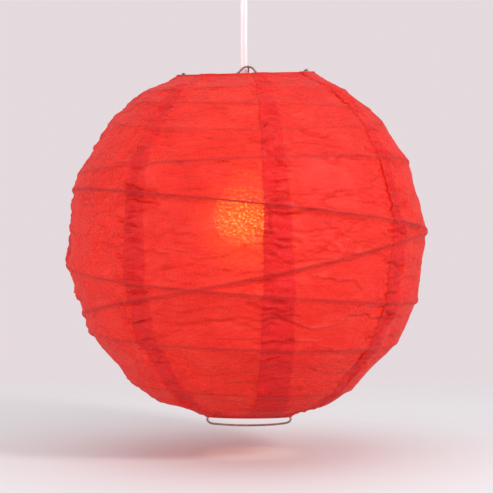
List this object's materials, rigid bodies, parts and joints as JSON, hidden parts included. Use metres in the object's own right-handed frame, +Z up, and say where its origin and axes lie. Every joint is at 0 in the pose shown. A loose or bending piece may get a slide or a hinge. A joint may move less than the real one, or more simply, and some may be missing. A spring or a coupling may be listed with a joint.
{
  "type": "paper lantern",
  "caption": "Round red paper lantern with wire hoop ribs and a wire expander, hung on a flat twin cord with lampholder, bulb and ceiling rose.",
  "frame": {"origin": "middle of the ceiling rose's flat top face, where the lantern hangs from", "axes": "+Z up along the cord, -Y the front with one paper overlap in the middle, +X to the right seen from the front"},
  "size_m": [0.3544, 0.3544, 0.499],
  "materials": {
    "red_paper": "crinkled matt rice paper, translucent, dyed red",
    "steel_wire": "drawn steel wire, slightly dulled",
    "white_cord": "soft white PVC, satin",
    "white_plastic": "moulded white plastic, fine mould texture",
    "brown_core": "brown PVC insulation",
    "blue_core": "blue PVC insulation",
    "insulator": "unglazed porcelain",
    "black_insulator": "black glass insulator",
    "brass": "stamped brass",
    "screw_steel": "plated steel screw",
    "bulb_cap": "rolled aluminium cap",
    "bulb_glass": "pearl glass, lit",
    "stem_glass": "clear glass",
    "filament": "glowing tungsten"
  },
  "bodies": {
    "ceiling": {"rose_base_plate": "white_plastic", "rose_cover": "white_plastic", "rose_cover_screw_right": "screw_steel", "rose_cover_screw_left": "screw_steel", "rose_terminal_block": "white_plastic", "rose_terminal_screw_live": "screw_steel", "rose_terminal_screw_neutral": "screw_steel", "core_live": "brown_core", "core_neutral": "blue_core", "rose_outlet_bush": "white_plastic", "rose_bush_nut": "white_plastic", "rose_cord_grip": "white_plastic", "cord_tail": "white_cord"},
    "pendant": {"pendant_cord": "white_cord", "lampholder_cord_bush": "white_plastic", "lampholder_cap": "white_plastic", "lampholder_barrel": "white_plastic", "lampholder_insulator": "insulator", "lampholder_screw_live": "brass", "lampholder_screw_neutral": "brass", "screw_shell": "brass", "centre_contact": "brass", "hanger_hook": "steel_wire"},
    "shade_ring": {"shade_ring": "white_plastic"},
    "bulb": {"bulb_foot_contact": "bulb_cap", "bulb_insulator": "black_insulator", "bulb_base": "bulb_cap", "bulb_glass": "bulb_glass", "bulb_stem": "stem_glass", "bulb_filament": "filament"},
    "shade": {"expander_frame": "steel_wire", "hanger_bridge": "steel_wire", "top_ring": "steel_wire", "rib_01": "steel_wire", "rib_02": "steel_wire", "rib_03": "steel_wire", "rib_04": "steel_wire", "rib_05": "steel_wire", "rib_06": "steel_wire", "rib_07": "steel_wire", "rib_08": "steel_wire", "rib_09": "steel_wire", "rib_10": "steel_wire", "gore_1": "red_paper", "gore_2": "red_paper", "gore_3": "red_paper", "gore_4": "red_paper", "gore_5": "red_paper", "gore_6": "red_paper", "gore_7": "red_paper", "gore_8": "red_paper"},
    "bottom_ring": {"bottom_ring": "steel_wire"}
  },
  "joints": [
    {"name": "pendant_swing", "type": "hinge", "parent": "ceiling", "child": "pendant", "pos_m": [0, 0, -0.056], "axis": [0, 1, 0], "range_deg": [-12, 12]},
    {"name": "bulb_turn", "type": "hinge", "parent": "pendant", "child": "bulb", "pos_m": [0, 0, -0.23], "axis": [0, 0, 1], "range_deg": [0, 900]},
    {"name": "shade_ring_turn", "type": "hinge", "parent": "pendant", "child": "shade_ring", "pos_m": [0, 0, -0.232], "axis": [0, 0, 1], "range_deg": [0, 720]},
    {"name": "shade_rock", "type": "hinge", "parent": "pendant", "child": "shade", "pos_m": [0.0044, -0.006, -0.1498], "axis": [1, 0, 0], "range_deg": [-5, 5]},
    {"name": "shade_fold", "type": "slide", "parent": "shade", "child": "bottom_ring", "axis": [0, 0, 1], "range_m": [0, 0.25], "deforming": ["rib_01", "rib_02", "rib_03", "rib_04", "rib_05", "rib_06", "rib_07", "rib_08", "rib_09", "rib_10", "gore_1", "gore_2", "gore_3", "gore_4", "gore_5", "gore_6", "gore_7", "gore_8"]}
  ]
}
